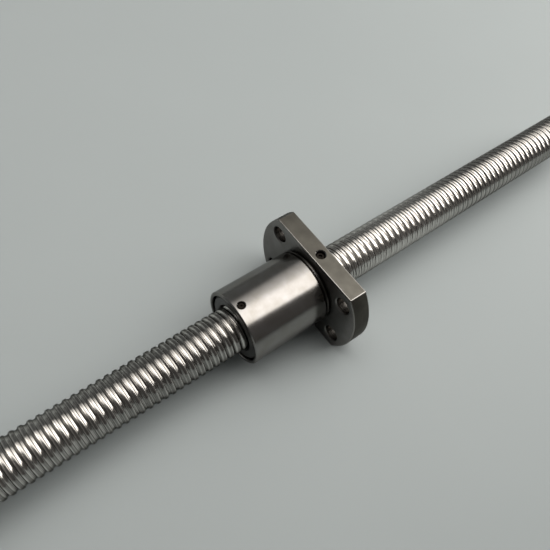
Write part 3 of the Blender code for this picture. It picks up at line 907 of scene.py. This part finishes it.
end_ring("end_ring_a", BODY_END_X + END_RING_SUNK, 1, BODY_GRUB[0], "end_ring_body_end")
end_ring("end_ring_b", FLANGE_END_X - END_RING_SUNK, -1, FLANGE_GRUB[0], "end_ring_flange_end")
wiper("wiper_ring_a", BODY_FLOOR_X, -1, "wiper_ring_body_end")
wiper("wiper_ring_b", FLANGE_FLOOR_X, 1, "wiper_ring_flange_end")

# %% [markdown]
# ## Grub screws
#
# A small headless screw in each radial hole locks an end ring. It is blackened steel with a
# hexagon socket, and it sits just below the surface, so it shows as a dark dot in its hole.

# %% Grub screws
GRUB_CLEARANCE = 0.15 * MM
POINT_R = RING_GROOVE_WIDTH / 2 - SEAT_GAP
SOCKET_DEPTH = 0.4 * MM
SOCKET_SIDES = 6
BODY_GRUB_SUNK = 0.4 * MM
FLANGE_GRUB_SUNK = 0.8 * MM


def grub_screw(name, x, hole_r, top, node):
    """A screw with a point and a socket, turned upright at x with its head at top."""
    radius = hole_r - GRUB_CLEARANCE
    edge = 0.12 * MM
    work = turned([
        (RING_GROOVE_R + SEAT_GAP, 0.0),
        (RING_GROOVE_R + SEAT_GAP, POINT_R - edge),
        (RING_GROOVE_R + SEAT_GAP + edge, POINT_R),
        (COUNTERBORE_R, POINT_R),
        (COUNTERBORE_R, radius),
        (top - edge, radius),
        (top, radius - edge),
        (top, 0.0),
    ], HOLE_STEPS)
    socket = bar((top - SOCKET_DEPTH, 0, 0), (top + OVERSHOOT, 0, 0), radius / 2, SOCKET_SIDES)
    work = combined(name, work, [("DIFFERENCE", socket)])
    upright = Matrix.Rotation(-math.pi / 2, 4, "Y")
    bmesh.ops.transform(work, matrix=Matrix.Translation((x, 0, 0)) @ upright, verts=work.verts)
    finish_piece(name, work, "nut", [node], [BLACKENED])


grub_screw(
    "grub_screw_a", BODY_GRUB[0], BODY_GRUB[1], BODY_R - BODY_GRUB_SUNK,
    "grub_screw_body_end",
)
grub_screw(
    "grub_screw_b", FLANGE_GRUB[0], FLANGE_GRUB[1], AXIS_Z - FLANGE_GRUB_SUNK,
    "grub_screw_flange_end",
)

# %% [markdown]
# ## Balls
#
# The balls lie one behind another on a closed path: round in the groove, then up through the
# deflector and back by one lead. The path is laid out as points, its length is divided by the
# ball's size, and a small round ball goes at each step.

# %% The path of the balls
BACK_FROM, BACK_SPAN = 0.2, 0.6
LIFT_SPAN = 0.25


def smooth_step(t):
    """0 below 0, 1 above 1, and a soft rise between."""
    t = min(max(t, 0.0), 1.0)
    return t * t * (3 - 2 * t)


def on_circle(x, radius, angle):
    """The point at this radius from the axis and at this angle from +Y."""
    return Vector((x, radius * math.cos(angle), radius * math.sin(angle)))


def race_path(number, start, end, shift, count=40):
    """Ball centres in the groove between two angles from the deflector's middle."""
    x, middle = circuit_middle(number)
    angles = [start + (end - start) * i / count for i in range(count + 1)]
    return [
        on_circle(x + LEAD * (shift + a / (2 * math.pi)), BALL_CIRCLE_R, middle + a)
        for a in angles
    ]


def crossing_path(number, count=16):
    """Ball centres through the deflector, up and over the land and back by one lead."""
    x, middle = circuit_middle(number)
    points = []
    for i in range(count + 1):
        t = i / count
        angle = (t - 0.5) * CROSSING_ANGLE
        back = smooth_step((t - BACK_FROM) / BACK_SPAN)
        lift = smooth_step(t / LIFT_SPAN) * smooth_step((1 - t) / LIFT_SPAN)
        groove_x = x + LEAD * (0.5 - back + angle / (2 * math.pi))
        points.append(on_circle(groove_x, BALL_CIRCLE_R + CROSSING_RISE * lift, middle + angle))
    return points


# %% Put the balls on their paths
def walk(points, pitch, count):
    """Points at every pitch along a line, from half a pitch in."""
    found, walked, i = [], 0.0, 0
    for n in range(count):
        wanted = (n + 0.5) * pitch
        while i < len(points) - 2 and walked + (points[i + 1] - points[i]).length < wanted:
            walked += (points[i + 1] - points[i]).length
            i += 1
        share = (wanted - walked) / (points[i + 1] - points[i]).length
        found.append(points[i].lerp(points[i + 1], share))
    return found


half_crossing = CROSSING_ANGLE / 2
for number in range(CIRCUITS):
    race = race_path(number, half_crossing, 2 * math.pi - half_crossing, -0.5)
    loop = race + crossing_path(number)[1:]
    length = sum((b - a).length for a, b in zip(loop, loop[1:]))
    count = math.floor(length / (2 * BALL_R + BALL_PLAY))
    work = bmesh.new()
    for place in walk(loop, length / count, count):
        bmesh.ops.create_icosphere(
            work, subdivisions=2, radius=BALL_R, matrix=Matrix.Translation(place)
        )
    nodes = [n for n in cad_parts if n.startswith(f"ball_{number + 1}_")]
    finish_piece(
        f"circuit_{number + 1}_balls", work, "nut",
        [f"ball_row_{number + 1}", *nodes], [BALL_STEEL], sharp=80,
    )
    print(f"circuit {number + 1}: {count} balls")

# %% The deflectors
BORE_STEPS = 96
RUN_ON = math.radians(20)
RUN_ON_POINTS = 4


def channel(number):
    """A tube along the balls' path through a deflector."""
    path = race_path(number, -half_crossing - RUN_ON, -half_crossing, 0.5, RUN_ON_POINTS)
    path += crossing_path(number)[1:]
    path += race_path(
        number, half_crossing, half_crossing + RUN_ON, -0.5, RUN_ON_POINTS
    )[1:]
    curve = bpy.data.curves.new(f"channel_{number}", "CURVE")
    curve.dimensions = "3D"
    curve.bevel_depth = CHANNEL_R
    curve.bevel_resolution = 6
    curve.use_fill_caps = True
    spline = curve.splines.new("POLY")
    spline.points.add(len(path) - 1)
    for spot, place in zip(spline.points, path):
        spot.co = (*place, 1.0)
    wire = bpy.data.objects.new(f"channel_{number}", curve)
    bpy.context.scene.collection.objects.link(wire)
    graph = bpy.context.evaluated_depsgraph_get()
    work = bmesh.new()
    work.from_mesh(wire.evaluated_get(graph).to_mesh())
    bpy.data.objects.remove(wire)
    bpy.data.curves.remove(curve)
    return tidy(work)


for number in range(CIRCUITS):
    x = circuit_middle(number)[0]
    bore = bar(
        (x - DEFLECTOR_WIDTH, 0, 0), (x + DEFLECTOR_WIDTH, 0, 0), LAND_R, BORE_STEPS
    )
    work = combined(f"deflector_{number}", insert_block(number, 0.0, True), [
        ("DIFFERENCE", bore), ("DIFFERENCE", channel(number)),
    ])
    finish_piece(
        f"ball_deflector_{number + 1}", work, "nut",
        [f"deflector_{number + 1}"], [DEFLECTOR_STEEL],
    )

# %% [markdown]
# ## Floor, lamps and camera
#
# The photograph shows the part on a pale grey surface, under one broad soft lamp that stands
# high at the right. Polished metal is a mirror, so the lamp's place and shape are what draws
# the bright band along the screw: each point of the band reflects the lamp to the camera.

# %% Floor
FLOOR_SIZE = 2.4
FLOOR_CLOUDS = 60 * MM
CLOUDS_DARK, CLOUDS_LIGHT = 0.48, 0.52
# Painted light: the floor's colour is lighter towards +Y and darker towards +X.
PAINTED_LIGHT_PER_X = -0.0004 / MM
PAINTED_LIGHT_PER_Y = 0.0010 / MM
FLOOR_DARK_AT, FLOOR_LIGHT_AT = 0.4, 0.66


def board():
    """Pale board with faint clouds. Its colour is painted lighter towards +Y and darker
    towards +X, as painted light for the way light falls across the surface."""
    material, tree, shader = new_material("pale_board", Roughness=0.6, IOR=1.5)
    place = add_node(tree, "ShaderNodeTexCoord")
    clouds = add_node(
        tree, "ShaderNodeTexNoise", [("Vector", place.outputs["Object"])],
        Scale=1 / FLOOR_CLOUDS, Detail=3.0,
    )
    faint = add_node(
        tree, "ShaderNodeMapRange", [("Value", clouds.outputs["Fac"])],
        To_Min=CLOUDS_DARK, To_Max=CLOUDS_LIGHT,
    )
    parts = add_node(tree, "ShaderNodeSeparateXYZ", [("Vector", place.outputs["Object"])])
    # Painted light: the floor's colour slopes lighter towards +Y and darker towards +X.
    slope = add_node(
        tree, "ShaderNodeMath", [(0, parts.outputs["Y"]), (2, faint.outputs["Result"])],
        operation="MULTIPLY_ADD",
    )
    slope.inputs[1].default_value = PAINTED_LIGHT_PER_Y
    painted_light = add_node(
        tree, "ShaderNodeMath", [(0, parts.outputs["X"]), (2, slope.outputs["Value"])],
        operation="MULTIPLY_ADD",
    )
    painted_light.inputs[1].default_value = PAINTED_LIGHT_PER_X
    ramp = add_node(tree, "ShaderNodeValToRGB", [("Fac", painted_light.outputs["Value"])])
    ramp.color_ramp.elements[0].position = FLOOR_DARK_AT
    ramp.color_ramp.elements[0].color = linear("#8B9293")
    ramp.color_ramp.elements[1].position = FLOOR_LIGHT_AT
    ramp.color_ramp.elements[1].color = linear("#A6ADAE")
    tree.links.new(ramp.outputs["Color"], shader.inputs["Base Color"])
    return material


def make_floor():
    """A square of board under the part, as stage."""
    work = bmesh.new()
    bmesh.ops.create_grid(work, x_segments=1, y_segments=1, size=FLOOR_SIZE / 2)
    floor = as_object("floor", work)
    floor.data.materials.append(board())
    print(f"floor: {FLOOR_SIZE} m square")


make_floor()

# %% [markdown]
# ### The room
#
# The steel's sides reflect the room. It is brighter behind the part than in front, and
# darkest overhead, where a studio has its ceiling. One slow ramp along a tilted direction
# gives that, with no picture in it.

# %% World
BACK_AND_DOWN = (0.0, 0.9, -0.4)
ROOM_REACH = 0.9
DARKEST_AT = 0.3

world = bpy.data.worlds.new("room")
bpy.context.scene.world = world
world.use_nodes = True
tree = world.node_tree
view = add_node(tree, "ShaderNodeTexCoord")
towards_back = add_node(
    tree, "ShaderNodeVectorMath", [("Vector", view.outputs["Generated"])],
    operation="DOT_PRODUCT",
)
towards_back.inputs[1].default_value = BACK_AND_DOWN
share = add_node(
    tree, "ShaderNodeMapRange", [("Value", towards_back.outputs["Value"])],
    From_Min=-ROOM_REACH, From_Max=ROOM_REACH,
)
sky = add_node(tree, "ShaderNodeValToRGB", [("Fac", share.outputs["Result"])])
sky.color_ramp.elements[0].color = linear("#62605E")
sky.color_ramp.elements[1].color = linear("#7E807F")
sky.color_ramp.elements.new(DARKEST_AT).color = linear("#3C3B3A")
tree.links.new(sky.outputs["Color"], tree.nodes["Background"].inputs["Color"])
print(f"room: {len(sky.color_ramp.elements)} tones")

# %% [markdown]
# ### The lamp
#
# One big softbox hangs over the part, tilted so that it looks down along the screw. Its near
# edge is sharp, which ends the bright band sharply at the bottom. Towards the back it fades
# out, as cloth does away from its tube, so the band has a soft upper edge. Its far end bends
# to the back. Its levels are set so that the band on the nut's body grows and fades
# as the one in the photograph does.

# %% A softbox
def softbox(name, place, facing, along, size, power, colour):
    """A rectangular lamp. facing is the way its light goes, and along its long side."""
    light = bpy.data.lights.new(name, "AREA")
    light.shape = "RECTANGLE"
    light.size, light.size_y = size
    light.energy = power
    light.color = linear(colour)[:3]
    lamp = bpy.data.objects.new(name, light)
    bpy.context.scene.collection.objects.link(lamp)
    back = -Vector(facing).normalized()
    side = (Vector(along) - Vector(along).dot(back) * back).normalized()
    up = back.cross(side)
    lamp.matrix_world = Matrix.Translation(place) @ Matrix((side, up, back)).transposed().to_4x4()
    return lamp


# %% The key lamp
KEY_X, KEY_HEIGHT = 0.18, 0.375
KEY_FACING = (-0.6, 0, -0.8)
KEY_ALONG = (0.8, 0, -0.6)
KEY_LENGTH = 1.15
KEY_WIDTH = 0.85
KEY_LOW_Y = -0.30
KEY_BEND = 0.75
BEND_SHARE = 0.46
KEY_WATTS = 11.6
# How bright the lamp is at each y, in metres, on its straight part.
KEY_LEVELS = (
    (-0.29, 0.0), (-0.26, 1.0), (0.0, 0.95), (0.08, 0.55), (0.16, 0.36), (0.24, 0.25),
    (0.33, 0.12), (0.42, 0.0),
)

key = softbox(
    "key_softbox", (KEY_X, KEY_LOW_Y + KEY_WIDTH / 2, KEY_HEIGHT), KEY_FACING, KEY_ALONG,
    (KEY_LENGTH, KEY_WIDTH), KEY_WATTS, "#FFFBF6",
)
key.data.use_nodes = True
tree = key.data.node_tree
spot = add_node(tree, "ShaderNodeNewGeometry")
parts = add_node(tree, "ShaderNodeSeparateXYZ", [("Vector", spot.outputs["Parametric"])])
bend = add_node(
    tree, "ShaderNodeMapRange", [("Value", parts.outputs["X"])], From_Min=0.0,
    From_Max=BEND_SHARE, To_Min=BEND_SHARE * KEY_LENGTH * KEY_BEND / KEY_WIDTH, To_Max=0.0,
)
across = add_node(
    tree, "ShaderNodeMath", [(0, parts.outputs["Y"]), (1, bend.outputs["Result"])],
    operation="SUBTRACT",
)
levels = add_node(tree, "ShaderNodeValToRGB", [("Fac", across.outputs["Value"])])
for y, level in KEY_LEVELS:
    stop = levels.color_ramp.elements.new((y - KEY_LOW_Y) / KEY_WIDTH)
    stop.color = (level, level, level, 1.0)
for end in (0, -1):
    levels.color_ramp.elements[end].color = (0.0, 0.0, 0.0, 1.0)
tree.links.new(levels.outputs["Color"], tree.nodes["Emission"].inputs["Strength"])
print(f"lamp: {KEY_LENGTH} by {KEY_WIDTH} m, {KEY_WATTS} W")

# %% [markdown]
# ### The camera
#
# The camera was fitted to the nut's edges in the photograph: its place, its turns about X, Y
# and Z, and its focal length in pixels.

# %% Camera
CAMERA_PLACE = (-0.070294, -0.049079, 0.140182)
CAMERA_DEGREES = (31.980, -6.372, -36.969)
FOCAL_PIXELS = 584.09
PICTURE_PIXELS = 550
SENSOR_WIDTH = 36.0

camera_data = bpy.data.cameras.new("camera")
camera_data.sensor_width = SENSOR_WIDTH
camera_data.lens = SENSOR_WIDTH * FOCAL_PIXELS / PICTURE_PIXELS
camera_data.clip_start = 0.01
camera_data.clip_end = 20.0
camera = bpy.data.objects.new("camera", camera_data)
bpy.context.scene.collection.objects.link(camera)
turn = Euler([math.radians(angle) for angle in CAMERA_DEGREES])
camera.matrix_world = Matrix.LocRotScale(Vector(CAMERA_PLACE), turn, None)
bpy.context.scene.camera = camera
bpy.context.scene.view_settings.view_transform = "Standard"
print(f"lens: {camera_data.lens:.1f} mm")
